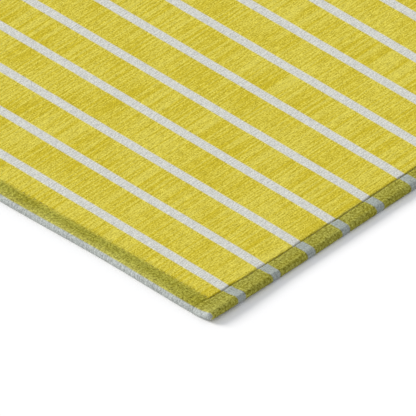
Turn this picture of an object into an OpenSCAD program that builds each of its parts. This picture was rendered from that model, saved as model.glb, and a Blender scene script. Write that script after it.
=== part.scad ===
// Striped rug with turned hems. A printed chenille face cloth wraps a felt pad and is turned
// under along all four edges. A non-slip backing closes the underside inside the turned hems,
// and a topstitched seam runs along each edge through every layer.
// X runs along the stripes, Y along the rug's length and Z up.
// The origin is the middle of the underside, on the surface that the rug lies on.

/* [Rug] */
// Width of the rug, along its stripes
rug_w = 762; // [600:1:900]
// Length of the rug, across its stripes
rug_l = 1168.4; // [900:0.1:1500]
// Thickness of the rug, which its rounded edges also have
rug_t = 8; // [7.8:0.1:9]

/* [Face cloth] */
// Thickness of the face cloth with its pile
cloth_t = 2.6; // [2.4:0.1:2.7]
// Width of the cloth turned under at each edge
turn_w = 36; // [34:1:40]

/* [Pad and backing] */
// Gap between the pad's rim and the outermost edge of the rug
pad_inset = 3.6; // [3.2:0.1:5]
// Gap between the backing's rim and the outermost edge of the rug
backing_inset = 8; // [6:0.5:12]
// Thickness of the backing sheet
backing_t = 1; // [0.8:0.1:1.2]
// Run over which the backing steps down from the turned hem to the field
step_run = 8; // [6:0.5:12]

/* [Grip dots] */
// Diameter of a grip dot
dot_d = 9; // [6:0.5:12]
// Height of a grip dot
dot_h = 0.8; // [0.6:0.1:1]
// Distance from one dot to the next
dot_pitch = 36; // [24:1:60]
// Distance from the rug's edge to the outermost dots
dot_margin = 54; // [54:1:70]

/* [Care label] */
// Width of the blank care label
label_w = 34; // [25:1:45]
// Length of the blank care label
label_l = 52; // [40:1:70]
// Thickness of the blank care label
label_t = 0.4; // [0.3:0.1:0.5]
// Distance from the label's middle to the right edge
label_from_right = 130; // [100:1:300]

/* [Seams] */
// Distance from the left and right seams to the edge, far from a corner
side_seam = 18.5; // [17:0.5:20]
// Extra distance of those seams at a corner
side_flare = 6.5; // [4:0.5:9]
// Length over which that extra dies away
side_fade = 75; // [60:5:120]
// Distance from the front and back seams to the edge, far from a corner
end_seam = 17.8; // [16:0.1:20]
// Extra distance of those seams at a corner
end_flare = 4.5; // [0:0.5:7]
// Length over which that extra dies away
end_fade = 250; // [150:10:300]
// Width of the groove that a seam pulls into the pile
groove_w = 2.4; // [2:0.1:3]
// Depth of that groove
groove_d = 1.2; // [1.1:0.1:1.3]
// Distance from one stitch to the next
stitch_pitch = 8; // [7.5:0.5:12]
// Length of thread that shows in one stitch
stitch_len = 6.4; // [5:0.1:7]
// Diameter of the sewing thread
thread_d = 1; // [0.8:0.1:1.1]

/* [Hidden] */
FRONT = 0;
RIGHT = 1;
BACK = 2;
LEFT = 3;
edge_r = rug_t / 2;
face_under = rug_t - cloth_t;
backing_low = dot_h;
step_outer = turn_w;
step_inner = turn_w + step_run;
label_x = rug_w / 2 - label_from_right;
label_y = rug_l / 2 - step_inner - 4 - label_l / 2;
// A seam ends this far from the rug's outline, where the edge has begun to round over
seam_end_gap = 3;
// Straight stretches that make up one curved seam
seam_parts = 24;
// A cut is carried this far past the surface that it opens
past = 1;
$fn = 48;

// A flat slab between two heights, inset from the rug's outline on all four sides
module slab(inset, low, high) {
    translate([inset - rug_w / 2, inset - rug_l / 2, low])
        cube([rug_w - 2 * inset, rug_l - 2 * inset, high - low]);
}

// A block with sloping sides, from one inset and height to another
module sloped_block(low_inset, low, high_inset, high) {
    skin = 0.01;
    hull() {
        slab(low_inset, low, low + skin);
        slab(high_inset, high - skin, high);
    }
}

// Half of a disc, with its straight side on the Y axis
module half_disc() {
    intersection() {
        circle(r = edge_r);
        translate([0, -edge_r])
            square([edge_r, 2 * edge_r]);
    }
}

// The rug's outer form: a plate with a half-round rail along each side and a round end at each corner
module rounded_plate() {
    slab(edge_r, 0, rug_t);
    for (side = [FRONT:LEFT])
        on_side(side) {
            translate([0, edge_r, edge_r])
                rotate([90, 0, -90])
                    linear_extrude(side_len(side) - 2 * edge_r, center = true)
                        half_disc();
            translate([side_len(side) / 2 - edge_r, edge_r, edge_r])
                rotate(-90)
                    rotate_extrude(angle = 90)
                        half_disc();
        }
}

// Length of one side, and the distance of the opposite pair of sides from the middle
function side_len(side) = side % 2 == 0 ? rug_w : rug_l;
function side_reach(side) = side % 2 == 0 ? rug_l / 2 : rug_w / 2;

// Distance from the seam to the edge, at a place s along a side whose middle is s = 0
function seam_base(side) = side % 2 == 0 ? end_seam : side_seam;
function seam_flare(side) = side % 2 == 0 ? end_flare : side_flare;
function seam_fade(side) = side % 2 == 0 ? end_fade : side_fade;
function flare_at(side, s) = exp(-(side_len(side) / 2 - abs(s)) / seam_fade(side));
function seam_at(side, s) = seam_base(side) + seam_flare(side) * flare_at(side, s);
function seam_angle(side, s) = atan(sign(s) * flare_at(side, s) * seam_flare(side) / seam_fade(side));

// Half the length of a seam. The front and back seams stop at the side seams, which run right across.
function seam_reach(side) =
    side % 2 == 0 ? rug_w / 2 - seam_at(RIGHT, rug_l / 2 - end_seam) : rug_l / 2 - seam_end_gap;

// Puts what is drawn along the X axis, with the rug on its +Y side, along one side of the rug
module on_side(side) {
    rotate(90 * side)
        translate([0, -side_reach(side), 0])
            children();
}

// The groove of one seam, cut down from height high to height low
module seam_groove(side, low, high) {
    reach = seam_reach(side);
    places = [for (i = [0:seam_parts]) reach * (2 * i / seam_parts - 1)];
    outer = [for (s = places) [s, seam_at(side, s) - groove_w / 2]];
    inner = [for (i = [seam_parts:-1:0]) [places[i], seam_at(side, places[i]) + groove_w / 2]];
    on_side(side)
        translate([0, 0, low])
            linear_extrude(high - low)
                polygon(concat(outer, inner));
}

// One row of stitches, each a short straight length of thread, with their axes at height z
module stitch_row(side, z) {
    count = floor((2 * seam_reach(side) - stitch_len) / stitch_pitch);
    on_side(side)
        for (i = [0:count]) {
            s = (i - count / 2) * stitch_pitch;
            translate([s, seam_at(side, s), z])
                rotate([0, 90, seam_angle(side, s)])
                    cylinder(h = stitch_len, d = thread_d, center = true, $fn = 16);
        }
}

// Printed face cloth, wrapped round the edges and turned under
module face_cloth() {
    color([0.84, 0.78, 0.25])
        difference() {
            rounded_plate();
            slab(cloth_t, cloth_t, face_under);
            slab(turn_w, -past, cloth_t + past);
            for (side = [FRONT:LEFT]) {
                seam_groove(side, rug_t - groove_d, rug_t + past);
                seam_groove(side, -past, groove_d);
            }
        }
}

// Felt pad that gives the rug its body
module felt_pad() {
    color([0.80, 0.79, 0.76]) {
        slab(pad_inset, cloth_t + backing_t, face_under);
        sloped_block(step_inner, backing_low + backing_t, step_outer, cloth_t + backing_t);
    }
}

// Non-slip backing: flat under the field, stepping up over the turned hem into the seams
module backing_sheet() {
    color([0.55, 0.56, 0.57])
        difference() {
            union() {
                slab(backing_inset, cloth_t, cloth_t + backing_t);
                sloped_block(step_inner, backing_low, step_outer, cloth_t);
            }
            sloped_block(step_inner, backing_low + backing_t, step_outer, cloth_t + backing_t);
        }
}

// True where a dot would lie under the care label
function under_label(x, y) =
    abs(x - label_x) < (label_w + dot_d) / 2 + 2 && abs(y - label_y) < (label_l + dot_d) / 2 + 2;

// Rubber grip dots moulded on the backing
module grip_dots() {
    columns = floor((rug_w - 2 * dot_margin) / dot_pitch);
    rows = floor((rug_l - 2 * dot_margin) / dot_pitch);
    color([0.25, 0.26, 0.27])
        for (column = [0:columns], row = [0:rows]) {
            x = (column - columns / 2) * dot_pitch;
            y = (row - rows / 2) * dot_pitch;
            if (!under_label(x, y))
                translate([x, y, 0])
                    cylinder(h = dot_h, d = dot_d, $fn = 24);
        }
}

// Blank care label, sewn flat to the backing beside the back hem
module care_label() {
    color([0.93, 0.93, 0.91])
        translate([label_x - label_w / 2, label_y - label_l / 2, backing_low - label_t])
            cube([label_w, label_l, label_t]);
}

// Needle thread of one seam, lying in the groove on top
module needle_thread(side) {
    color([0.50, 0.47, 0.15])
        stitch_row(side, rug_t - groove_d + thread_d / 2);
}

// Bobbin thread of one seam, lying in the groove underneath
module bobbin_thread(side) {
    color([0.62, 0.60, 0.40])
        stitch_row(side, groove_d - thread_d / 2);
}

face_cloth();
felt_pad();
backing_sheet();
grip_dots();
care_label();
needle_thread(FRONT);  // needle_thread_front
needle_thread(RIGHT);  // needle_thread_right
needle_thread(BACK);  // needle_thread_back
needle_thread(LEFT);  // needle_thread_left
bobbin_thread(FRONT);  // bobbin_thread_front
bobbin_thread(RIGHT);  // bobbin_thread_right
bobbin_thread(BACK);  // bobbin_thread_back
bobbin_thread(LEFT);  // bobbin_thread_left
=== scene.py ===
"""Looks of a striped rug with turned hems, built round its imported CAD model.

Everything is in metres, in the CAD frame. X runs along the stripes, Y along the rug's length and Z up,
and the origin is the middle of the underside, on the floor.

The four sides are numbered front 0, right 1, back 2 and left 3. A place on a side is given by s, the
distance along it from its middle, counterclockwise, and by d, the distance in from the rug's outline.
"""

import math

import bpy
import numpy as np
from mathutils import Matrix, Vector


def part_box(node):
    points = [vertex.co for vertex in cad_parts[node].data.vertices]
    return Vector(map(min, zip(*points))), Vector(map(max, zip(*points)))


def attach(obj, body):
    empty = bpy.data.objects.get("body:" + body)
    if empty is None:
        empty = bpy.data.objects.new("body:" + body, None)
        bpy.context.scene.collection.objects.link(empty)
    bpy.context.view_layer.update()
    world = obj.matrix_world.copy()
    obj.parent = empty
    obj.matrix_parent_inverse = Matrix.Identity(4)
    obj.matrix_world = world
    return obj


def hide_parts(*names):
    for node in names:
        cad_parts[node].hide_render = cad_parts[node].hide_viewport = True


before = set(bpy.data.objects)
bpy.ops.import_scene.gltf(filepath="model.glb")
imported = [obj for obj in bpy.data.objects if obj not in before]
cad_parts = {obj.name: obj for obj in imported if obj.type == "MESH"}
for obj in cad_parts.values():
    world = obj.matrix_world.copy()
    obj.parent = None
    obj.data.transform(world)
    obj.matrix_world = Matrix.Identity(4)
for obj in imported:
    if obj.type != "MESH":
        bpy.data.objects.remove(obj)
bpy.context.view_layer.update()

MM = 0.001
SIDES = ("front", "right", "back", "left")


def size_of(node):
    """Size of a CAD node along X, Y and Z, to the nearest tenth of a millimetre."""
    low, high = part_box(node)
    return [round(high[axis] - low[axis], 4) for axis in range(3)]


RUG_W, RUG_L, RUG_T = size_of("face_cloth")
EDGE_R = RUG_T / 2
SIDE_LEN = (RUG_W, RUG_L, RUG_W, RUG_L)
REACH = (RUG_L / 2, RUG_W / 2, RUG_L / 2, RUG_W / 2)
# Cosine and sine of the angle between each side and the front
TURNS = ((1, 0), (0, 1), (-1, 0), (0, -1))
PAD_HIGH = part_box("felt_pad")[1].z
CLOTH_T = RUG_T - PAD_HIGH

# The cloth is turned under this far
TURN = 36 * MM

# Grid lines across a hem lie three to a stitch, and the field has one cell to a stitch
STITCH_PITCH = 8 * MM
LINES_PER_STITCH = 3
HEM_ZONE = 44 * MM

# Printed stripes. The print is not quite square with the hems.
STRIPE_PITCH = 50.8 * MM
STRIPE_W = 11 * MM
STRIPE_BLEED = 0.9 * MM
FIRST_STRIPE = 44.2 * MM
PRINT_SKEW = 0.015
# The front hem is eased square with its edge, against that skew, and by this much more
EASE = 3.3 * MM


# ---------------------------------------------------------------- places


def to_world(side, s, d):
    """World x and y of a place on a side."""
    across = d - REACH[side]
    cos, sin = TURNS[side]
    return s * cos - across * sin, s * sin + across * cos


def place(side, s, d, z):
    """World points of places on a side, as an array whose last axis is x, y, z."""
    s, d, z = np.broadcast_arrays(s, d, z)
    x, y = to_world(side, s, d)
    return np.stack([x, y, z], axis=-1)


def flat_place(side, s, unfolded):
    """Places in the flat cloth, where unfolded is the distance in from the outline along the cloth."""
    return place(side, s, unfolded, 0)[..., :2]


def smooth(low, high, x):
    """0 below low, 1 above high, and a smooth rise between."""
    f = np.clip((x - low) / (high - low), 0, 1)
    return f * f * (3 - 2 * f)


def noise(x, y, cell, seed):
    """Smooth noise from -1 to 1 whose features are about one cell wide. It repeats after wrap cells."""
    wrap = 97
    lattice = np.random.RandomState(seed).uniform(-1, 1, (wrap, wrap))
    x, y = x / cell, y / cell
    i, j = np.floor(x).astype(int), np.floor(y).astype(int)
    fx, fy = smooth(0, 1, x - i), smooth(0, 1, y - j)
    low = lattice[i % wrap, j % wrap] * (1 - fx) + lattice[(i + 1) % wrap, j % wrap] * fx
    high = lattice[i % wrap, (j + 1) % wrap] * (1 - fx) + lattice[(i + 1) % wrap, (j + 1) % wrap] * fx
    return low * (1 - fy) + high * fy


def layered(x, y, layers):
    """Sum of several noises."""
    return sum(height * noise(x, y, cell, seed) for height, cell, seed in layers)


def bell(distance, width):
    """1 at no distance, falling away over the width on either side."""
    return np.exp(-(distance / width) ** 2)


# ---------------------------------------------------------------- seams


def stitches(node, side):
    """The s, d and z of both ends of every stitch in a CAD thread node."""
    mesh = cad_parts[node].data
    points = np.zeros(len(mesh.vertices) * 3)
    mesh.vertices.foreach_get("co", points)
    x, y, z = points.reshape(-1, 3).T
    cos, sin = TURNS[side]
    local = np.column_stack([x * cos + y * sin, y * cos - x * sin + REACH[side], z])
    local = local[np.argsort(local[:, 0])]
    # Each end of a stitch is a disc of points, well apart in s from the next one's
    caps = np.split(local, np.flatnonzero(np.diff(local[:, 0]) > 0.5 * MM) + 1)
    ends = np.array([(cap.min(axis=0) + cap.max(axis=0)) / 2 for cap in caps])
    return ends.reshape(-1, 2, 3)


NEEDLE = [stitches("needle_thread_" + name, side) for side, name in enumerate(SIDES)]
BOBBIN = [stitches("bobbin_thread_" + name, side) for side, name in enumerate(SIDES)]


def seam_inset(side, s):
    """Distance from a side's outline in to its seam."""
    middles = NEEDLE[side].mean(axis=1)
    return np.interp(s, middles[:, 0], middles[:, 1])


# ---------------------------------------------------------------- face cloth

# Grid lines on top beside a seam, and how many more there are out to the rounded edge
BESIDE_SEAM = np.array([9, 6, 4, 2.4, 1.5, 0.9, 0.4, 0, -0.4, -0.9, -1.5, -2.4, -4]) * MM
LINES_TO_EDGE = 5
QUARTER = np.linspace(0, math.pi / 2, 7)
# Grid lines underneath beside a seam, as distances past it
UNDER_SEAM = (-2.2 * MM, -1.2 * MM, -0.5 * MM, 0.5 * MM, 1.2 * MM, 2.2 * MM)
# Rows at the cut edge of the turned hem: distance from the cut in mm, and share of the cloth's thickness
CUT_EDGE = ((0.5, 0.08), (0, 0.3), (0, 0.7), (0.5, 0.92), (2, 1))
# Angles of the rows that round the inside of the edge, back up to the top
INNER_TURN = np.radians((135, 90, 45, 0))
# Below its middle the edge is fuller than a half circle, which has a power of 1
UNDER_EDGE_POWER = 0.15
# On the underside a corner keeps at least this radius, so that its cells keep some width
FOLD_R = 2 * MM
# Points in one cell of a grid this fine are welded. The shift keeps round numbers off the cells' borders.
WELD, WELD_SHIFT = 2 * MM * MM, 0.237
# How far inside the outline a point may lie and still be on the outer skin
SKIN_SLACK = 0.05 * MM

# Noises, each as its height, the size of its features and its seed. They move the side seams' grooves,
# change their pull, make the pile uneven, there and on the hems, lift the rug and change the grooves'
# painted shade.
SEAM_WOBBLE = ((0.4 * MM, 19 * MM, 18), (0.25 * MM, 7 * MM, 19))
PULL_CHANGE = ((0.3 * MM, 6 * MM, 16),)
PILE = ((0.13 * MM, 3.1 * MM, 11), (0.1 * MM, 7.3 * MM, 12))
HEM_PILE = ((0.16 * MM, 2.7 * MM, 13),)
LIE = ((0.22 * MM, 63 * MM, 14), (0.12 * MM, 27 * MM, 15))
PAINTED_SHADE_CHANGE = ((0.3, 5 * MM, 17),)

# How far the seams pull in the pile, how much that changes within a stitch, and how wide it reaches
SIDE_PULL, SIDE_PULL_CHANGE, SIDE_GROOVE_W = 1.35 * MM, 0.2 * MM, 0.95 * MM
END_PULL, END_PULL_CHANGE, END_GROOVE_W = 0.5 * MM, 0.15 * MM, 2.1 * MM
UNDER_PULL, UNDER_GROOVE_W = 1.3 * MM, 1.1 * MM
# The side seams' grooves lie this far past their stitches, and this is how far the field beside them sags
GROOVE_IN = 0.5 * MM
SAG, SAG_W = 0.5 * MM, 28 * MM
# How far the hems stand up above the field
SIDE_CROWN, END_CROWN = 0.75 * MM, 0.35 * MM
# Shares of its pull and of its painted shade that a side seam keeps where it crosses an end hem
PULL_ON_END, PAINTED_SHADE_ON_END = 0.4, 0.3

# Length and height of the gentle waves in the end hems' outline and in their inner border, and the
# distance of a crest from the right edge
WAVE, WAVE_HEIGHT, WAVE_CREST = 250 * MM, 0.9 * MM, 30 * MM
BORDER_WAVE, BORDER_HEIGHT, BORDER_CREST = 300 * MM, 0.9 * MM, 110 * MM
# On the whole the ends lie this far out, and the sides this far in
END_OUT, SIDE_IN = 0.3 * MM, 0.6 * MM
# How far the corners are drawn in, and over what distance
CORNER_IN, CORNER_W = 1 * MM, 26 * MM
# How far the sides curl up along all their length, how much more at a corner, and over what width
SIDE_CURL, CORNER_CURL, CURL_W = 0.3 * MM, 2.1 * MM, 16 * MM
# A corner's curl is full up to the first of these distances along a side, and gone at the second
CORNER_CURL_RUN = (15 * MM, 135 * MM)

# How much shade is painted on the rug's upright sides and in its side grooves, how far past the stitches
# the painted shade is darkest and how wide it reaches
PAINTED_WALL_SHADE = 0.15
PAINTED_GROOVE_SHADE, PAINTED_SHADE_IN, PAINTED_SHADE_W = 0.9, 0.6 * MM, 1.2 * MM

# Ranges over which something fades, as distances past a seam towards the field
SIDE_TINT_FADE = (0, 1.1 * MM)
END_TINT_FADE = (-4.5 * MM, 4 * MM)
SIDE_CROWN_FADE = (-3 * MM, -0.3 * MM)
END_CROWN_FADE = (-9 * MM, -2 * MM)
SAG_START = (-1.5 * MM, 0)
CROSSING = (-1 * MM, 1 * MM)
OFF_END_HEM = (-3 * MM, 2 * MM)
# Ranges as distances in from the rug's edges
VERY_END = (1 * MM, 4 * MM)
# The end hems' painted sheen fades in over the first of these, and keeps a share of it near the corners
PAINTED_SHEEN_FADE = (1 * MM, 12.5 * MM)
PAINTED_SHEEN_FROM_CORNER, PAINTED_SHEEN_AT_CORNER = (40 * MM, 90 * MM), 0.3
# The painted shade on the upright sides fades out over this
WALL_FADE = (1 * MM, 3.5 * MM)
END_WAVE_FADE = (2 * MM, 22 * MM)
SIDE_IN_FADE = (2 * MM, 18 * MM)
EASE_FADE = (12 * MM, 26 * MM)
# Heights over which the skin's relief grows from nothing at the floor, and below which it is on the floor
OFF_FLOOR, ON_FLOOR = (0.1 * MM, 3 * MM), 0.01 * MM
# The hems have pile of their own where a point is at least this much on a hem
HEM_FROM = 0.2


def side_cells(side):
    """How many field cells there are along a side."""
    return int((SIDE_LEN[side] - 2 * HEM_ZONE) / STITCH_PITCH)


def border(side):
    """Distance from a side's outline in to the border of the field."""
    return (SIDE_LEN[side - 1] - side_cells(side - 1) * STITCH_PITCH) / 2


def strip_lines(side):
    """Where the grid lines cross a side, between its corners."""
    half = side_cells(side) * STITCH_PITCH / 2
    return np.linspace(-half, half, side_cells(side) * LINES_PER_STITCH + 1)


def top_insets(side, s):
    """Insets of the grid lines on the flat top, from the field to the rounded edge, as a row for each s."""
    s = np.atleast_1d(s)
    near = seam_inset(side, s)[:, None] + BESIDE_SEAM
    inner = np.full((len(s), 1), border(side))
    last = near[:, -1:]
    outer = last + (EDGE_R - last) * np.arange(1, LINES_TO_EDGE + 1) / LINES_TO_EDGE
    return np.hstack([inner, (inner + near[:, :1]) / 2, near, outer])


class Shell:
    """Patches of a surface, with the place of each vertex in the flat cloth. They are welded at the end."""

    def __init__(self):
        self.points = []
        self.cloth = []
        self.faces = []
        self.count = 0

    def add(self, points, cloth, faces):
        self.points.append(points.reshape(-1, 3))
        self.cloth.append(cloth.reshape(-1, 2))
        self.faces += [[i + self.count for i in face] for face in faces]
        self.count += len(self.points[-1])

    def add_grid(self, points, cloth):
        """A patch whose points form rows and columns."""
        rows, columns = points.shape[:2]
        at = np.arange(rows * columns).reshape(rows, columns)
        quads = np.stack([at[:-1, :-1], at[:-1, 1:], at[1:, 1:], at[1:, :-1]], axis=-1)
        self.add(points, cloth, quads.reshape(-1, 4).tolist())

    def welded(self):
        """The joined points, the faces, and the flat-cloth place of every face corner."""
        points, cloth = np.vstack(self.points), np.vstack(self.cloth)
        keys = np.round(points / WELD + WELD_SHIFT).astype(np.int64)
        _, first, joined = np.unique(keys, axis=0, return_index=True, return_inverse=True)
        joined = joined.ravel()
        corners = np.concatenate([cloth[face] for face in self.faces])
        return points[first], [joined[face].tolist() for face in self.faces], corners


def add_hem_top(shell, side):
    """Top of one hem and the upper quarter of its rounded edge, between the corners."""
    s = strip_lines(side)[:, None]
    flat = top_insets(side, s[:, 0])
    angle = QUARTER[1:] + 0 * s
    d = np.hstack([flat, EDGE_R - EDGE_R * np.sin(angle)])
    z = np.hstack([0 * flat + RUG_T, EDGE_R + EDGE_R * np.cos(angle)])
    unfolded = np.hstack([flat, EDGE_R - EDGE_R * angle])
    shell.add_grid(place(side, s, d, z), flat_place(side, s, unfolded))


def corner_insets(side):
    """Insets of the grid lines in the corner where a side ends: from the next side, and from this one."""
    after = (side + 1) % 4
    half, half_after = SIDE_LEN[side] / 2, SIDE_LEN[after] / 2
    plain_a = top_insets(after, HEM_ZONE / 2 - half_after)[0]
    plain_b = top_insets(side, half - HEM_ZONE / 2)[0]
    return top_insets(after, plain_b - half_after).T, top_insets(side, half - plain_a)


def add_corner_top(shell, side):
    """Top of the corner where a side ends, with the grid lines of both hems."""
    flat_a, flat_b = corner_insets(side)
    angles = np.concatenate([np.zeros(len(flat_a) - 1), QUARTER])
    pick = np.minimum(np.arange(len(angles)), len(flat_a) - 1)
    a, b = flat_a[np.ix_(pick, pick)], flat_b[np.ix_(pick, pick)]
    angle_a, angle_b = angles[:, None] + 0 * a, angles[None, :] + 0 * a
    # Where both edges round over, squares of the grid are bent into a quarter of a sphere
    angle = np.maximum(angle_a, angle_b)
    lean = np.minimum(angle_a, angle_b) / np.maximum(angle, 1e-9) * math.pi / 4
    lean = np.where(angle_a > angle_b, math.pi / 2 - lean, lean)
    out = EDGE_R * np.sin(angle)
    z = EDGE_R + EDGE_R * np.cos(angle)
    end = SIDE_LEN[side] / 2
    shell.add_grid(
        place(side, end - a + out * np.sin(lean), b - out * np.cos(lean), z),
        flat_place(side, end - a + EDGE_R * angle_a, b - EDGE_R * angle_b),
    )


def under_rows(seam):
    """The inset, height, distance along the cloth and corner radius of each row of the underside.

    The rows run from the middle of the rounded edge, round the turned hem and back inside. seam is the
    seam's inset, and may be an array.
    """
    for angle in QUARTER + math.pi / 2:
        out = EDGE_R * max(0, math.sin(angle)) ** UNDER_EDGE_POWER
        yield EDGE_R - out, EDGE_R + EDGE_R * math.cos(angle), EDGE_R - EDGE_R * angle, max(out, FOLD_R)
    turned = EDGE_R - EDGE_R * math.pi
    groove, last = seam + UNDER_SEAM[0], TURN - CUT_EDGE[-1][0] * MM
    flat = [EDGE_R + (groove - EDGE_R) / 3, EDGE_R + (groove - EDGE_R) * 2 / 3]
    flat += [seam + step for step in UNDER_SEAM]
    flat += [(flat[-1] + last) / 2, last]
    for inset in flat:
        yield inset, 0, turned + EDGE_R - inset, FOLD_R
    cut = turned + EDGE_R - TURN
    for inset, height in CUT_EDGE:
        yield TURN - inset * MM, height * CLOTH_T, cut - height * CLOTH_T, FOLD_R
    yield EDGE_R, CLOTH_T, cut, FOLD_R
    inner_r = EDGE_R - CLOTH_T
    for angle in INNER_TURN:
        yield EDGE_R - inner_r * math.sin(angle), EDGE_R + inner_r * math.cos(angle), cut, FOLD_R
    yield EDGE_R + 2 * FOLD_R, RUG_T - CLOTH_T, cut, FOLD_R


def under_profile(seam):
    """The underside's rows, as arrays of insets, heights, distances along the cloth and corner radii."""
    d, z, unfolded, radius = zip(*under_rows(seam))
    d, z, unfolded = [np.array([row + 0 * seam for row in rows]) for rows in (d, z, unfolded)]
    return d, z, unfolded, np.array(radius)[:, None]


def add_corner_under(shell, side, end):
    """Lower half of a side's edge, and its turned hem, from the border of the field to the mitred corner.

    end is 1 where the side ends and -1 where it starts. Returns the inner row of points.
    """
    if end == 1:
        other = (side + 1) % 4
        lines = corner_insets(side)[0][:, -1]
        other_s = -SIDE_LEN[other] / 2
    else:
        other = side - 1
        lines = corner_insets(other)[1][-1]
        other_s = SIDE_LEN[other] / 2
    share = (lines[0] - lines) / (lines[0] - lines[-1])
    half = SIDE_LEN[side] / 2
    mitre = (seam_inset(side, end * half) + seam_inset(other, other_s)) / 2
    seam = seam_inset(side, end * (half - lines)) * (1 - share) + mitre * share
    d, z, unfolded, radius = under_profile(seam)
    corner = d[:, -1:] + radius
    along = lines[0] + (corner - lines[0]) * share
    lean = QUARTER[1:] / 2
    along = np.hstack([along, corner - radius * np.sin(lean)])
    d = np.hstack([d, corner - radius * np.cos(lean)])
    z = np.hstack([z, z[:, -1:] + 0 * lean])
    unfolded = np.hstack([unfolded, unfolded[:, -1:] + 0 * lean])
    s = end * (half - along)
    points, cloth = place(side, s, d, z), flat_place(side, s, unfolded)
    if end == -1:
        points, cloth = points[:, ::-1], cloth[:, ::-1]
    shell.add_grid(points.swapaxes(0, 1), cloth.swapaxes(0, 1))
    return points[-1]


def add_hem_under(shell, side):
    """Lower half of a side's edge, and its turned hem. Returns the inner rows of its three stretches."""
    start = add_corner_under(shell, side, -1)
    s = strip_lines(side)
    d, z, unfolded, _ = under_profile(seam_inset(side, s))
    points, cloth = place(side, s, d, z), flat_place(side, s, unfolded)
    shell.add_grid(points.swapaxes(0, 1), cloth.swapaxes(0, 1))
    return start, points[-1], add_corner_under(shell, side, 1)


def add_field(shell, z, cells):
    """A flat grid over the field. Its border cells also take the grid lines of the hems."""
    xs, ys = strip_lines(0), strip_lines(1)
    step = LINES_PER_STITCH * cells
    points, index, faces = [], {}, []

    def at(i, j):
        if (i, j) not in index:
            index[(i, j)] = len(points)
            points.append((xs[i], ys[j], z))
        return index[(i, j)]

    for i in range(0, len(xs) - 1, step):
        for j in range(0, len(ys) - 1, step):
            ii, jj = i + step, j + step
            face = [at(k, j) for k in (range(i, ii) if j == 0 else (i,))]
            face += [at(ii, k) for k in (range(j, jj) if ii == len(xs) - 1 else (j,))]
            face += [at(k, jj) for k in (range(ii, i, -1) if jj == len(ys) - 1 else (ii,))]
            face += [at(i, k) for k in (range(jj, j, -1) if i == 0 else (jj,))]
            faces.append(face)
    points = np.array(points)
    shell.add(points, points[:, :2], faces)


def add_inner_cap(shell, rows, cells):
    """Closes the inside of the cloth, over the pad, from the inner rows of the four sides."""
    z = RUG_T - CLOTH_T
    step = LINES_PER_STITCH * cells
    xs, ys = strip_lines(0)[::step], strip_lines(1)[::step]
    grid = np.array([[(x, y, z) for y in ys] for x in xs])
    shell.add_grid(grid, grid[..., :2])
    for side, (start, strip, _) in enumerate(rows):
        inner = place(side, strip_lines(side)[::step], border(side), z)
        for k in range(len(inner) - 1):
            outer = strip[k * step:(k + 1) * step + 1]
            ring = np.vstack([outer, inner[k + 1:k + 2], inner[k:k + 1]])[::-1]
            shell.add(ring, ring[:, :2], [range(len(ring))])
        ring = np.vstack([rows[side - 1][2], start[1:], inner[:1]])[::-1]
        shell.add(ring, ring[:, :2], [range(len(ring))])


def is_skin(points):
    """1 for points of the cloth's outer skin, and 0 inside and on the cut edge."""
    x = np.maximum(abs(points[:, 0]) - (RUG_W / 2 - EDGE_R), 0)
    y = np.maximum(abs(points[:, 1]) - (RUG_L / 2 - EDGE_R), 0)
    out = np.sqrt(x ** 2 + y ** 2 + (points[:, 2] - EDGE_R) ** 2)
    return (out > EDGE_R - SKIN_SLACK).astype(float)


def outward(points):
    """Unit vectors away from the middle of the cloth's section, on its outer skin."""
    spine = points.copy()
    spine[:, 0] = np.clip(points[:, 0], EDGE_R - RUG_W / 2, RUG_W / 2 - EDGE_R)
    spine[:, 1] = np.clip(points[:, 1], EDGE_R - RUG_L / 2, RUG_L / 2 - EDGE_R)
    spine[:, 2] = EDGE_R
    away = points - spine
    return away / np.maximum(np.linalg.norm(away, axis=1), 1e-9)[:, None]


def eased(places):
    """Flat-cloth places, moved along near the front so that the front hem's stripe follows its edge."""
    x, y = places.T
    shift = EASE - PRINT_SKEW * (RUG_W / 2 - x)
    in_hem = 1 - smooth(*EASE_FADE, y + RUG_L / 2)
    return np.column_stack([x, y - shift * in_hem, 0 * x])


def seam_terms(points):
    """Distances past the nearer side seam and the nearer end seam towards the field, and in from the edges.

    The side seams' grooves wander a little about the stitches.
    """
    x, y = points[:, 0], points[:, 1]
    side_d, end_d = RUG_W / 2 - abs(x), RUG_L / 2 - abs(y)
    right, left = side_d - seam_inset(1, y), side_d - seam_inset(3, -y)
    front, back = end_d - seam_inset(0, x), end_d - seam_inset(2, -x)
    past_side = np.where(x > 0, right, left) + layered(x, y, SEAM_WOBBLE)
    return past_side, np.where(y < 0, front, back), side_d, end_d


def hem_shares(points):
    """How far each point is on a side hem and on an end hem, from 0 on the field to 1.

    The end hems fade in softly, with a gently waving border, and the very end of the rug is all theirs. The
    material paints the hems' shade by these shares.
    """
    past_side, past_end, _, end_d = seam_terms(points)
    on_side = (1 - smooth(*SIDE_TINT_FADE, past_side)) * smooth(*VERY_END, end_d)
    along = RUG_W / 2 - points[:, 0] - BORDER_CREST
    border_wave = BORDER_HEIGHT * np.cos(2 * math.pi * along / BORDER_WAVE)
    on_end = 1 - smooth(*END_TINT_FADE, past_end - border_wave)
    return on_side, on_end * (1 - on_side)


def off_end(past_end):
    """0 on the end hems and 1 past their seams, where a side seam has its full strength."""
    return smooth(*OFF_END_HEM, past_end)


def painted_sheen_share(points):
    """How much sheen is painted on the end hems, which grows to their edge and away from the corners."""
    _, _, side_d, end_d = seam_terms(points)
    along = PAINTED_SHEEN_AT_CORNER + (1 - PAINTED_SHEEN_AT_CORNER) * smooth(*PAINTED_SHEEN_FROM_CORNER, side_d)
    return (1 - smooth(*PAINTED_SHEEN_FADE, end_d)) * along


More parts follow.
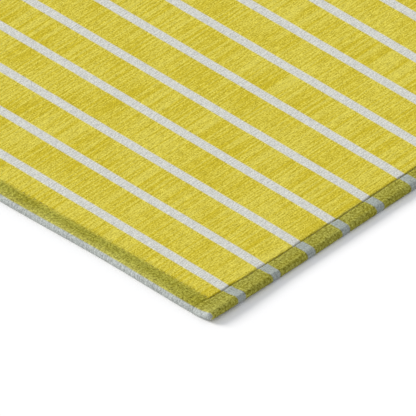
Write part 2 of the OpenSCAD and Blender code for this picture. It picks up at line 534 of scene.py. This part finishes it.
def deep_share(points):
    """How much shade is painted, up to 1: in the side seams' grooves, and a little on the rug's upright
    sides.
    """
    past_side, past_end, side_d, _ = seam_terms(points)
    x, y, z = points.T
    groove = bell(past_side - PAINTED_SHADE_IN, PAINTED_SHADE_W) * (PAINTED_GROOVE_SHADE + layered(x, y, PAINTED_SHADE_CHANGE)) * (z > EDGE_R)
    groove *= PAINTED_SHADE_ON_END + (1 - PAINTED_SHADE_ON_END) * off_end(past_end)
    wall = PAINTED_WALL_SHADE * (1 - smooth(*WALL_FADE, side_d))
    return np.maximum(groove, wall)


def relief(points):
    """How far the outer skin stands out: seams pulled in, hems crowned, pile uneven."""
    past_side, past_end, _, _ = seam_terms(points)
    x, y, z = points.T
    side_pull = SIDE_PULL + SIDE_PULL_CHANGE * np.cos(2 * math.pi * y / STITCH_PITCH)
    side_pull += layered(x, y, PULL_CHANGE)
    end_pull = END_PULL + END_PULL_CHANGE * np.cos(2 * math.pi * x / STITCH_PITCH)
    side_groove = side_pull * bell(past_side - GROOVE_IN, SIDE_GROOVE_W)
    side_groove += SAG * smooth(*SAG_START, past_side) * (1 - smooth(0, SAG_W, past_side))
    side_groove *= PULL_ON_END + (1 - PULL_ON_END) * off_end(past_end)
    end_groove = end_pull * bell(past_end, END_GROOVE_W) * smooth(*CROSSING, past_side)
    side_crown = SIDE_CROWN * (1 - smooth(*SIDE_CROWN_FADE, past_side))
    end_crown = END_CROWN * (1 - smooth(*END_CROWN_FADE, past_end))
    hem_pile = layered(x + z, y - z, HEM_PILE) * (sum(hem_shares(points)) > HEM_FROM)
    uneven = layered(x, y, PILE + LIE) + hem_pile
    return np.maximum(side_crown, end_crown) - side_groove - end_groove + uneven


def under_relief(points):
    """How far the underside's seams are drawn up into the turned hems."""
    past_side, past_end, _, _ = seam_terms(points)
    side = bell(past_side, UNDER_GROOVE_W)
    end = bell(past_end, UNDER_GROOVE_W) * smooth(*CROSSING, past_side)
    return UNDER_PULL * np.maximum(side, end)


def wander(points):
    """How far the rug lies from its plain form: its ends wave, and its corners and sides are drawn in.

    The sides also curl up, by a fraction of a millimetre along most of their length and by more near the
    corners.
    """
    x, y = points[:, 0], points[:, 1]
    side_d, end_d = RUG_W / 2 - abs(x), RUG_L / 2 - abs(y)
    wave = END_OUT + WAVE_HEIGHT * np.cos(2 * math.pi * (RUG_W / 2 - WAVE_CREST - x) / WAVE)
    wave *= 1 - smooth(*END_WAVE_FADE, end_d)
    corner_in = CORNER_IN * (1 - smooth(0, CORNER_W, np.hypot(side_d, end_d)))
    side_in = corner_in + SIDE_IN * (1 - smooth(*SIDE_IN_FADE, side_d))
    curl = SIDE_CURL + CORNER_CURL * (1 - smooth(*CORNER_CURL_RUN, end_d))
    curl *= 1 - smooth(0, CURL_W, side_d)
    return np.column_stack([-np.sign(x) * side_in, np.sign(y) * (wave - corner_in), curl])


def laid(points):
    """The cloth's points after its skin is pulled in and crowned, and the rug is laid down."""
    skin = is_skin(points)
    off_floor = smooth(*OFF_FLOOR, points[:, 2])
    moved = points + outward(points) * (relief(points) * skin * off_floor)[:, None]
    moved[:, 2] += under_relief(points) * skin * (points[:, 2] < ON_FLOOR)
    return moved + wander(points)


def new_piece(name, node, points, faces, material):
    """Adds a smooth mesh that stands for a CAD node and rides on the rug."""
    mesh = bpy.data.meshes.new(name)
    mesh.from_pydata(points.tolist(), [], faces)
    mesh.materials.append(material)
    mesh.shade_smooth()
    piece = bpy.data.objects.new(name, mesh)
    bpy.context.scene.collection.objects.link(piece)
    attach(piece, "root")
    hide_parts(node)
    return piece


def keep_values(piece, name, values):
    """Stores one number for each vertex, which the material reads."""
    piece.data.attributes.new(name, "FLOAT", "POINT").data.foreach_set("value", values)


def make_face_cloth():
    """The cloth: a field, four hems with their rounded edges, and the part that is turned under."""
    shell = Shell()
    rows = []
    for side in range(4):
        add_hem_top(shell, side)
        add_corner_top(shell, side)
        rows.append(add_hem_under(shell, side))
    add_field(shell, RUG_T, 1)
    add_inner_cap(shell, rows, 3)
    points, faces, corners = shell.welded()
    piece = new_piece("face_cloth_piece", "face_cloth", laid(points), faces, chenille())
    cloth = piece.data.attributes.new("cloth", "FLOAT_VECTOR", "CORNER")
    cloth.data.foreach_set("vector", eased(corners).ravel())
    for name, share in zip(("side_hem", "end_hem"), hem_shares(points)):
        keep_values(piece, name, share)
    # Where sheen is painted on the end hems
    keep_values(piece, "painted_sheen", painted_sheen_share(points))
    # Where shade is painted in the side grooves and on the upright sides
    keep_values(piece, "deep", deep_share(points))


# ---------------------------------------------------------------- pad, backing, dots and label


def slab_lines(low, high, fine, cell):
    """Grid lines from low to high: at the distances in fine from both ends, and a cell or so apart."""
    inner_low, inner_high = low + fine[-1], high - fine[-1]
    count = max(1, round((inner_high - inner_low) / cell))
    middle = np.linspace(inner_low, inner_high, count + 1)
    return np.concatenate([low + np.array(fine[:-1]), middle, high - np.array(fine[-2::-1])])


def slab_mesh(xs, ys, low, high):
    """A closed body over grid lines. low and high give its heights from x, y and the inset."""
    x, y = np.meshgrid(xs, ys, indexing="ij")
    inset = np.minimum(np.minimum(x - xs[0], xs[-1] - x), np.minimum(y - ys[0], ys[-1] - y))
    shape = x.shape
    top = np.stack([x, y, high(x, y, inset)], axis=-1).reshape(-1, 3)
    bottom = np.stack([x, y, low(x, y, inset)], axis=-1).reshape(-1, 3)
    at = np.arange(len(top)).reshape(shape)
    quads = np.stack([at[:-1, :-1], at[1:, :-1], at[1:, 1:], at[:-1, 1:]], axis=-1).reshape(-1, 4)
    rim = np.concatenate([at[:-1, 0], at[-1, :-1], at[:0:-1, -1], at[0, :0:-1]])
    after = np.roll(rim, -1)
    walls = np.stack([rim + len(top), after + len(top), after, rim], axis=-1)
    faces = quads.tolist() + (quads[:, ::-1] + len(top)).tolist() + walls.tolist()
    return np.vstack([top, bottom]), faces


def rim_lines(node, fine, cell):
    """Grid lines along x and y over a CAD node's box."""
    low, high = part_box(node)
    return slab_lines(low.x, high.x, fine, cell), slab_lines(low.y, high.y, fine, cell)


BACKING_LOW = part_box("backing_sheet")[0].z
BACKING_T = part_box("backing_sheet")[1].z - CLOTH_T
# The backing steps up over the turned hem within this distance, which has this many grid lines
STEP_RUN, STEP_LINES = 8 * MM, 7
# Sizes of the grid cells
RIM_CELL, BACKING_CELL, PAD_CELL, LABEL_CELL = 14 * MM, 12 * MM, 16 * MM, 2 * MM
# Width of the pad's rounded rim, and the share of its thickness that is left at the very rim
RIM_W, RIM_T = 1.2 * MM, 0.2
# How much thinner the label is at its rim, and how unevenly it lies, as a noise
LABEL_THIN = 0.12 * MM
LABEL_LIE = ((0.04 * MM, 9 * MM, 21),)


def backing_under(inset_from_outline):
    """Height of the backing's underside, in the field and over the turned hem."""
    on_hem = 1 - smooth(TURN, TURN + STEP_RUN, inset_from_outline)
    return BACKING_LOW + (CLOTH_T - BACKING_LOW) * on_hem


def make_backing():
    """Woven scrim, flat under the field and stepped up over the turned hems."""
    rim = (RUG_W - size_of("backing_sheet")[0]) / 2
    steps = TURN - rim + np.linspace(0, STEP_RUN, STEP_LINES)
    xs, ys = rim_lines("backing_sheet", [0, RIM_CELL, *steps], BACKING_CELL)

    def low(x, y, inset):
        return backing_under(inset + rim)

    def high(x, y, inset):
        return low(x, y, inset) + BACKING_T

    points, faces = slab_mesh(xs, ys, low, high)
    points += wander(points)
    piece = new_piece("backing_piece", "backing_sheet", points, faces, scrim())


def make_pad():
    """Needled felt with a softly rounded rim. It fills the space between the backing and the cloth."""
    rim = (RUG_W - size_of("felt_pad")[0]) / 2
    steps = TURN - rim + np.linspace(0, STEP_RUN, STEP_LINES)
    xs, ys = rim_lines("felt_pad", [0, RIM_W / 6, RIM_W / 2, RIM_W, RIM_CELL, *steps], PAD_CELL)
    middle = (PAD_HIGH + CLOTH_T + BACKING_T) / 2

    def rounded(inset):
        return RIM_T + (1 - RIM_T) * np.sqrt(1 - (1 - np.clip(inset / RIM_W, 0, 1)) ** 2)

    def low(x, y, inset):
        flat = backing_under(inset + rim) + BACKING_T
        return middle + (flat - middle) * rounded(inset)

    def high(x, y, inset):
        return middle + (PAD_HIGH - middle) * rounded(inset)

    points, faces = slab_mesh(xs, ys, low, high)
    points += wander(points)
    piece = new_piece("felt_pad_piece", "felt_pad", points, faces, felt())


def make_label():
    """A blank woven label that lies almost flat on the backing."""
    box_low, box_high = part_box("care_label")
    xs, ys = rim_lines("care_label", [0, LABEL_CELL / 2, LABEL_CELL], LABEL_CELL)

    def high(x, y, inset):
        return box_high.z + 0 * x

    def low(x, y, inset):
        rim = LABEL_THIN * smooth(LABEL_CELL / 2, 0, inset)
        return box_low.z + rim + layered(x, y, LABEL_LIE)

    points, faces = slab_mesh(xs, ys, low, high)
    piece = new_piece("care_label_piece", "care_label", points, faces, woven_label())


DOT_PITCH = 36 * MM
DOT_SIDES = 16
# Radius and height of a dot's rings, as shares of its radius and height, from the backing to its crown
DOT_PROFILE = ((1, 1), (0.98, 0.6), (0.9, 0.28), (0.72, 0.07), (0.42, 0))


def make_dots():
    """Low rubber domes, one for each dot of the CAD model."""
    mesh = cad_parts["grip_dots"].data
    co = np.zeros(len(mesh.vertices) * 3)
    mesh.vertices.foreach_get("co", co)
    co = co.reshape(-1, 3)
    half = DOT_PITCH / 2
    centres = np.unique(np.round(co[:, :2] / half).astype(int), axis=0) * half
    one = co[np.hypot(*(co[:, :2] - centres[0]).T) < half]
    radius = (one[:, 0].max() - one[:, 0].min()) / 2
    turn = np.arange(DOT_SIDES) * 2 * math.pi / DOT_SIDES
    circle = np.column_stack([np.cos(turn), np.sin(turn)])
    rings = [np.column_stack([circle * radius * r, 0 * turn + co[:, 2].max() * h]) for r, h in DOT_PROFILE]
    dome = np.vstack(rings)
    at = np.arange(len(dome)).reshape(len(rings), DOT_SIDES)
    after = np.roll(at, -1, axis=1)
    quads = np.stack([at[:-1], at[1:], after[1:], after[:-1]], axis=-1).reshape(-1, 4)
    dome_faces = quads.tolist() + [at[0].tolist(), at[-1, ::-1].tolist()]
    points = dome[None] + np.column_stack([centres, 0 * centres[:, 0]])[:, None]
    faces = [[i + k * len(dome) for i in face] for k in range(len(centres)) for face in dome_faces]
    new_piece("grip_dots_piece", "grip_dots", points.reshape(-1, 3), faces, rubber())


# ---------------------------------------------------------------- thread

PLY_R = 0.27 * MM
PLY_OUT = 0.23 * MM
PLY_SIDES = 6
THREAD_RINGS = 10
TWISTS = 1.5
# How far a stitch stands out from its CAD axis, at its middle and at its ends. It sinks in at both, and
# the higher the power, the nearer to its ends.
STITCH_MIDDLE, STITCH_END, SINK_POWER = -0.15 * MM, -0.95 * MM, 2.5


def make_thread(kind, ends_of_sides, away, material):
    """Two-ply stitches of the four seams on one face of the rug. away is 1 on top and -1 underneath."""
    t = np.linspace(0, 1, THREAD_RINGS)[:, None]
    turn = np.arange(PLY_SIDES) * 2 * math.pi / PLY_SIDES
    lift = STITCH_MIDDLE + (STITCH_END - STITCH_MIDDLE) * abs(2 * t - 1) ** SINK_POWER
    at = np.arange(THREAD_RINGS * PLY_SIDES).reshape(THREAD_RINGS, PLY_SIDES)
    after = np.roll(at, -1, axis=1)
    quads = np.stack([at[:-1], at[1:], after[1:], after[:-1]], axis=-1).reshape(-1, 4)
    ply_faces = quads.tolist() + [at[0].tolist(), at[-1, ::-1].tolist()]
    for side, name in enumerate(SIDES):
        points = []
        for start, finish in ends_of_sides[side]:
            axis = start + (finish - start) * t
            for ply in (0, math.pi):
                twist = TWISTS * 2 * math.pi * t + ply
                across = PLY_OUT * np.sin(twist) + PLY_R * np.sin(turn)
                up = PLY_OUT * np.cos(twist) + PLY_R * np.cos(turn) + away * lift
                s, d, z = axis[:, 0:1] + 0 * across, axis[:, 1:2] + across, axis[:, 2:3] + up
                points.append(place(side, s, d, z).reshape(-1, 3))
        faces = [[i + k * at.size for i in face] for k in range(len(points)) for face in ply_faces]
        node = kind + "_thread_" + name
        new_piece(node + "_piece", node, np.vstack(points), faces, material)


# ---------------------------------------------------------------- materials


class Nodes:
    """The node tree of one new material."""

    def __init__(self, name):
        self.material = bpy.data.materials.new(name)
        self.material.use_nodes = True
        self.tree = self.material.node_tree
        self.shader = self.tree.nodes["Principled BSDF"]

    def add(self, kind, inputs=(), **settings):
        """Adds a node. inputs pairs an input's name or number with a value or another node's output."""
        node = self.tree.nodes.new("ShaderNode" + kind)
        for name, value in settings.items():
            setattr(node, name, value)
        for key, value in dict(inputs).items():
            self.put(node.inputs[key], value)
        return node

    def put(self, socket, value):
        if isinstance(value, bpy.types.NodeSocket):
            self.tree.links.new(value, socket)
        else:
            socket.default_value = value

    def kept(self, name):
        """A value that the mesh stores for each vertex."""
        return self.add("Attribute", attribute_name=name).outputs["Fac"]

    def maths(self, operation, first, second=0.0, third=0.0):
        inputs = {0: first, 1: second, 2: third}
        return self.add("Math", inputs, operation=operation).outputs[0]

    def ramp(self, value, low, high, to_low=0.0, to_high=1.0):
        """A smooth rise from to_low to to_high as value goes from low to high."""
        inputs = {"Value": value, "From Min": low, "From Max": high, "To Min": to_low, "To Max": to_high}
        return self.add("MapRange", inputs, interpolation_type="SMOOTHSTEP").outputs["Result"]

    def noise(self, vector, scale, detail=2.0, stretch=(1, 1, 1)):
        """Noise of about 0 to 1 with features of 1 / scale, stretched along the axes."""
        mapped = self.add("Mapping", {"Vector": vector, "Scale": [scale * k for k in stretch]})
        inputs = {"Vector": mapped.outputs[0], "Scale": 1.0, "Detail": detail, "Roughness": 0.55}
        return self.add("TexNoise", inputs).outputs["Fac"]

    def swing(self, value, gain, base):
        """base, plus gain times how far value is above a half."""
        return self.maths("MULTIPLY_ADD", self.maths("SUBTRACT", value, 0.5), gain, base)

    def mix(self, share, first, second, kind="MIX"):
        node = self.add("Mix", {0: share}, data_type="RGBA", blend_type=kind)
        self.put(node.inputs[6], first)
        self.put(node.inputs[7], second)
        return node.outputs[2]

    def bump(self, height, distance, strength=1.0):
        inputs = {"Height": height, "Distance": distance, "Strength": strength}
        return self.add("Bump", inputs).outputs["Normal"]

    def finish(self, **inputs):
        """Sets the shader's inputs, whose names are given in lower case, and returns the material."""
        for name, value in inputs.items():
            self.put(self.shader.inputs[name.replace("_", " ").title().replace("Ior", "IOR")], value)
        return self.material


YELLOW_LIGHT = (0.598, 0.517, 0.072, 1)
YELLOW_DEEP = (0.503, 0.400, 0.0165, 1)
STRIPE_WHITE = (0.556, 0.555, 0.502, 1)
# Painted shade: what the side hems, the end hems and the painted shade in the grooves and on the upright
# sides multiply the yellow and the white by
SIDE_HEM_PAINTED_SHADE = ((0.53, 0.59, 0.82, 1), (0.555, 0.605, 0.605, 1))
END_HEM_PAINTED_SHADE = ((0.53, 0.59, 0.60, 1), (0.69, 0.73, 0.757, 1))
GROOVE_AND_WALL_PAINTED_SHADE = ((0.46, 0.46, 0.20, 1), (0.46, 0.46, 0.48, 1))
# Colour of the painted sheen on the end hems' pile, and the most of it that shows
PAINTED_SHEEN_COLOUR = (0.69, 0.63, 0.17, 1)
PAINTED_SHEEN_MOST = 0.3
# Light and dark shades of the other materials
SCRIM_COLOURS = ((0.40, 0.40, 0.39, 1), (0.27, 0.27, 0.27, 1))
LABEL_COLOURS = ((0.72, 0.72, 0.69, 1), (0.60, 0.60, 0.57, 1))
FELT_COLOURS = ((0.68, 0.66, 0.61, 1), (0.52, 0.50, 0.45, 1))
FELT_SPECK = (0.36, 0.35, 0.33, 1)
RUBBER_COLOURS = ((0.10, 0.10, 0.10, 1), (0.055, 0.055, 0.055, 1))
NEEDLE_COLOURS = ((0.30, 0.27, 0.06, 1), (0.20, 0.18, 0.03, 1))
BOBBIN_COLOURS = ((0.46, 0.43, 0.20, 1), (0.34, 0.31, 0.12, 1))

# Features to a metre in the chenille: pile, tufts, ribs, long streaks of tone and soft blotches
GRAIN, TUFTS, RIBS, STREAKS, BLOTCHES = 620, 330, 560, 380, 22
# How much each of those changes the yellow's tone, and the light and shade of all the pile
TONE = {"streaks": 1.9, "ribs": 0.45, "grain": 1.7, "blotch": 1.3, "hem tufts": 1.3}
SHADE = {"ribs": 0.4, "end ribs": 0.6, "grain": 1.05, "hem grain": 0.4, "hem tufts": 1.4, "hem blotch": 0.3}
# How much of the ribs the brushed hems lose, and how brushed their white is next to their yellow
BRUSHED_OFF, BRUSHED_WHITE = 0.75, 0.4
# Shares of the ribs and the grain in the bump, its depth and its strength
BUMP_RIBS, BUMP_GRAIN, BUMP_DEPTH, BUMP_STRENGTH = 0.5, 0.6, 0.9 * MM, 0.8
# Features to a metre in the other materials
FELT_FIBRES, FELT_SPECKS, DUST, RUBBER_GRAIN, THREAD_FIBRES = 900, 420, 160, 1500, 2200
# Sizes of the threads in the scrim and in the label, and how far they stand out
SCRIM_WEAVE = {"thread_size": 1.1 * MM, "raised": 0.25 * MM}
LABEL_WEAVE = {"thread_size": 0.35 * MM, "raised": 0.06 * MM}


def stripe_mask(nodes, cloth, rough):
    """1 on the printed stripes, with edges that are a little rough."""
    parts = nodes.add("SeparateXYZ", {0: cloth}).outputs
    start = RUG_L / 2 - FIRST_STRIPE - PRINT_SKEW * RUG_W / 2
    slant = nodes.maths("MULTIPLY_ADD", parts["X"], PRINT_SKEW, start)
    across = nodes.swing(rough, STRIPE_BLEED, nodes.maths("ADD", parts["Y"], slant))
    wrapped = nodes.maths("WRAP", across, -STRIPE_PITCH / 2, STRIPE_PITCH / 2)
    distance = nodes.maths("ABSOLUTE", wrapped)
    return nodes.ramp(distance, STRIPE_W / 2 - STRIPE_BLEED, STRIPE_W / 2 + STRIPE_BLEED, 1, 0)


class Pile:
    """Outputs that the chenille's colour and relief are made from."""

    def __init__(self, nodes):
        cloth = nodes.add("Attribute", attribute_name="cloth").outputs["Vector"]
        names = ("side_hem", "end_hem", "deep", "painted_sheen")
        self.side_hem, self.end_hem, self.deep, self.painted_sheen = map(nodes.kept, names)
        self.hem = nodes.maths("ADD", self.side_hem, self.end_hem)
        self.grain = nodes.noise(cloth, GRAIN, 1)
        self.tufts = nodes.noise(cloth, TUFTS, 1)
        self.ribs = nodes.noise(cloth, RIBS, 0, (1, 0.22, 1))
        self.streaks = nodes.noise(cloth, STREAKS, 0, (1, 0.025, 1))
        self.blotch = nodes.noise(cloth, BLOTCHES, 2, (1, 0.7, 1))
        self.stripe = stripe_mask(nodes, cloth, self.grain)
        self.on_yellow = nodes.maths("SUBTRACT", 1.0, self.stripe)
        # The hems are brushed, so their pile shows and their ribs hardly do
        self.ribbing = nodes.maths("MULTIPLY_ADD", self.hem, -BRUSHED_OFF, 1.0)


def pile_colour(nodes, pile):
    """Yellow that changes tone from rib to rib, with white stripes, painted shade on the hems, in the
    grooves and on the upright sides, and painted sheen on the ends.
    """
    tone = nodes.swing(pile.streaks, nodes.maths("MULTIPLY", pile.ribbing, TONE["streaks"]), 0.5)
    tone = nodes.swing(pile.ribs, nodes.maths("MULTIPLY", pile.ribbing, TONE["ribs"]), tone)
    tone = nodes.swing(pile.grain, TONE["grain"], tone)
    tone = nodes.swing(pile.blotch, TONE["blotch"], tone)
    tone = nodes.swing(pile.tufts, nodes.maths("MULTIPLY", pile.hem, TONE["hem tufts"]), tone)
    yellow = nodes.mix(nodes.ramp(tone, 0, 1), YELLOW_DEEP, YELLOW_LIGHT)
    colour = nodes.mix(pile.stripe, yellow, STRIPE_WHITE)
    # Painted shade: the hems, the side grooves and the upright sides are darkened by multiplying
    places = ((pile.side_hem, SIDE_HEM_PAINTED_SHADE), (pile.end_hem, END_HEM_PAINTED_SHADE), (pile.deep, GROOVE_AND_WALL_PAINTED_SHADE))
    for share, tints in places:
        tinted = nodes.mix(1.0, colour, nodes.mix(pile.stripe, *tints), "MULTIPLY")
        colour = nodes.mix(share, colour, tinted)
    # Painted sheen, lighter towards the end hems' edges
    sheen_amount = nodes.maths("MULTIPLY", nodes.maths("MULTIPLY", pile.painted_sheen, pile.on_yellow), PAINTED_SHEEN_MOST)
    return nodes.mix(sheen_amount, colour, PAINTED_SHEEN_COLOUR)


def pile_shade(nodes, pile):
    """What the light and shade within the pile multiply its colour by."""
    shade = nodes.swing(pile.ribs, nodes.maths("MULTIPLY", pile.ribbing, SHADE["ribs"]), 1.0)
    # The ribs do show where they wrap over the white ends of the rug
    white_end = nodes.maths("MULTIPLY", pile.end_hem, pile.stripe)
    shade = nodes.swing(pile.ribs, nodes.maths("MULTIPLY", white_end, SHADE["end ribs"]), shade)
    by_colour = nodes.maths("MULTIPLY_ADD", pile.on_yellow, 1 - BRUSHED_WHITE, BRUSHED_WHITE)
    brushed = nodes.maths("MULTIPLY", pile.hem, by_colour)
    grain = nodes.maths("MULTIPLY_ADD", brushed, SHADE["hem grain"], SHADE["grain"])
    shade = nodes.swing(pile.grain, grain, shade)
    shade = nodes.swing(pile.tufts, nodes.maths("MULTIPLY", brushed, SHADE["hem tufts"]), shade)
    return nodes.swing(pile.blotch, nodes.maths("MULTIPLY", pile.hem, SHADE["hem blotch"]), shade)


def chenille():
    """Printed chenille: fine ribs along Y, a grain of pile, soft blotches, and brushed hems with painted
    shade.
    """
    nodes = Nodes("chenille")
    pile = Pile(nodes)
    colour = nodes.mix(1.0, pile_colour(nodes, pile), pile_shade(nodes, pile), "MULTIPLY")
    grain = nodes.maths("MULTIPLY", pile.grain, BUMP_GRAIN)
    height = nodes.maths("MULTIPLY_ADD", pile.ribs, BUMP_RIBS, grain)
    normal = nodes.bump(height, BUMP_DEPTH, BUMP_STRENGTH)
    return nodes.finish(base_color=colour, roughness=0.95, specular_ior_level=0.15, normal=normal)


def weave(name, light, dark, thread_size, raised):
    """Plain-woven cloth: two sets of threads that cross, with a little change of tone between them."""
    nodes = Nodes(name)
    place_in = nodes.add("NewGeometry").outputs["Position"]
    parts = nodes.add("SeparateXYZ", {0: place_in}).outputs
    turns = 2 * math.pi / (2 * thread_size)
    warp = nodes.maths("SINE", nodes.maths("MULTIPLY", parts["X"], turns))
    weft = nodes.maths("SINE", nodes.maths("MULTIPLY", parts["Y"], turns))
    height = nodes.maths("MULTIPLY", warp, weft)
    uneven = nodes.noise(place_in, 0.2 / thread_size, 2)
    shade = nodes.maths("MULTIPLY_ADD", height, 0.25, uneven)
    base = nodes.mix(nodes.ramp(shade, 0.2, 0.8), dark, light)
    normal = nodes.bump(height, raised)
    return nodes.finish(base_color=base, roughness=0.85, specular_ior_level=0.2, normal=normal)


def scrim():
    """Coarse grey scrim of the backing."""
    return weave("scrim", *SCRIM_COLOURS, **SCRIM_WEAVE)


def woven_label():
    """Fine white tape of the label."""
    return weave("woven_label", *LABEL_COLOURS, **LABEL_WEAVE)


def felt():
    """Needled felt: a mat of short fibres with darker specks."""
    nodes = Nodes("felt")
    place_in = nodes.add("NewGeometry").outputs["Position"]
    fibres = nodes.noise(place_in, FELT_FIBRES, 3, (1, 0.3, 1))
    specks = nodes.ramp(nodes.noise(place_in, FELT_SPECKS, 1), 0.62, 0.72)
    light, dark = FELT_COLOURS
    base = nodes.mix(nodes.ramp(fibres, 0.3, 0.7), dark, light)
    base = nodes.mix(specks, base, FELT_SPECK)
    normal = nodes.bump(fibres, 0.4 * MM)
    return nodes.finish(base_color=base, roughness=0.95, specular_ior_level=0.15, normal=normal)


def rubber():
    """Matt moulded rubber, a little dusty."""
    nodes = Nodes("rubber")
    place_in = nodes.add("NewGeometry").outputs["Position"]
    dust = nodes.noise(place_in, DUST, 3)
    light, dark = RUBBER_COLOURS
    base = nodes.mix(nodes.ramp(dust, 0.4, 0.8), dark, light)
    normal = nodes.bump(nodes.noise(place_in, RUBBER_GRAIN, 1), 0.05 * MM)
    return nodes.finish(base_color=base, roughness=nodes.ramp(dust, 0.3, 0.8, 0.6, 0.8), normal=normal)


def thread(name, light, dark):
    """Twisted polyester thread."""
    nodes = Nodes(name)
    place_in = nodes.add("NewGeometry").outputs["Position"]
    fibre = nodes.noise(place_in, THREAD_FIBRES, 1)
    base = nodes.mix(nodes.ramp(fibre, 0.3, 0.7), dark, light)
    normal = nodes.bump(fibre, 0.08 * MM)
    return nodes.finish(base_color=base, roughness=0.6, specular_ior_level=0.3, normal=normal)


# ---------------------------------------------------------------- stage

LIGHT_FROM = (-0.80, -0.33, 0.495)
SUN_STRENGTH = 2.69
SUN_WIDTH = math.radians(23)
SUN_COLOUR = (1.02, 1.0, 0.97)
SKY_STRENGTH = 0.75
SKY_COLOUR = (0.97, 1.0, 1.05, 1)
FLOOR_COLOUR = (0.872, 0.862, 0.852, 1)
# Half the width of the floor, and how far it lies below the rug so that the two don't share a plane
FLOOR_REACH, FLOOR_GAP = 72, 0.1 * MM
# The camera looks at the floor this far in from the rug's front right corner
LOOK_IN = (131.53 * MM, 134.55 * MM)
CAMERA_AZIMUTH = math.radians(43.258)
CAMERA_ELEVATION = math.radians(37.743)
CAMERA_DISTANCE = 14.0
CAMERA_LENS = 1208.8


def add_object(name, data, place_at=(0, 0, 0), facing=None):
    """Adds an object whose local Z axis points along facing."""
    thing = bpy.data.objects.new(name, data)
    thing.location = place_at
    if facing is not None:
        thing.rotation_mode = "QUATERNION"
        thing.rotation_quaternion = Vector(facing).to_track_quat("Z", "Y")
    bpy.context.scene.collection.objects.link(thing)
    return thing


def make_floor():
    """A pale floor that runs on past the edge of every view."""
    signs = ((-1, -1), (1, -1), (1, 1), (-1, 1))
    corners = [(x * FLOOR_REACH, y * FLOOR_REACH, -FLOOR_GAP) for x, y in signs]
    mesh = bpy.data.meshes.new("floor")
    mesh.from_pydata(corners, [], [range(4)])
    mesh.materials.append(Nodes("floor").finish(base_color=FLOOR_COLOUR, roughness=1.0))
    add_object("floor", mesh)


def make_light():
    sun = bpy.data.lights.new("window", "SUN")
    sun.energy = SUN_STRENGTH
    sun.angle = SUN_WIDTH
    sun.color = SUN_COLOUR
    add_object("window", sun, facing=LIGHT_FROM)
    world = bpy.data.worlds.new("studio")
    world.use_nodes = True
    background = world.node_tree.nodes["Background"]
    background.inputs["Color"].default_value = SKY_COLOUR
    background.inputs["Strength"].default_value = SKY_STRENGTH
    bpy.context.scene.world = world
    bpy.context.scene.view_settings.view_transform = "Standard"


def make_camera():
    level = math.cos(CAMERA_ELEVATION)
    back = (math.sin(CAMERA_AZIMUTH) * level, -math.cos(CAMERA_AZIMUTH) * level, math.sin(CAMERA_ELEVATION))
    target = Vector((RUG_W / 2 - LOOK_IN[0], -RUG_L / 2 + LOOK_IN[1], 0))
    lens = bpy.data.cameras.new("camera")
    lens.sensor_width = 36
    lens.lens = CAMERA_LENS
    lens.clip_end = 10 * CAMERA_DISTANCE
    camera = add_object("camera", lens, target + Vector(back) * CAMERA_DISTANCE, back)
    bpy.context.scene.camera = camera


make_floor()
make_light()
make_camera()
make_face_cloth()
make_backing()
make_dots()
make_label()
make_pad()
make_thread("needle", NEEDLE, 1, thread("needle_thread", *NEEDLE_COLOURS))
make_thread("bobbin", BOBBIN, -1, thread("bobbin_thread", *BOBBIN_COLOURS))
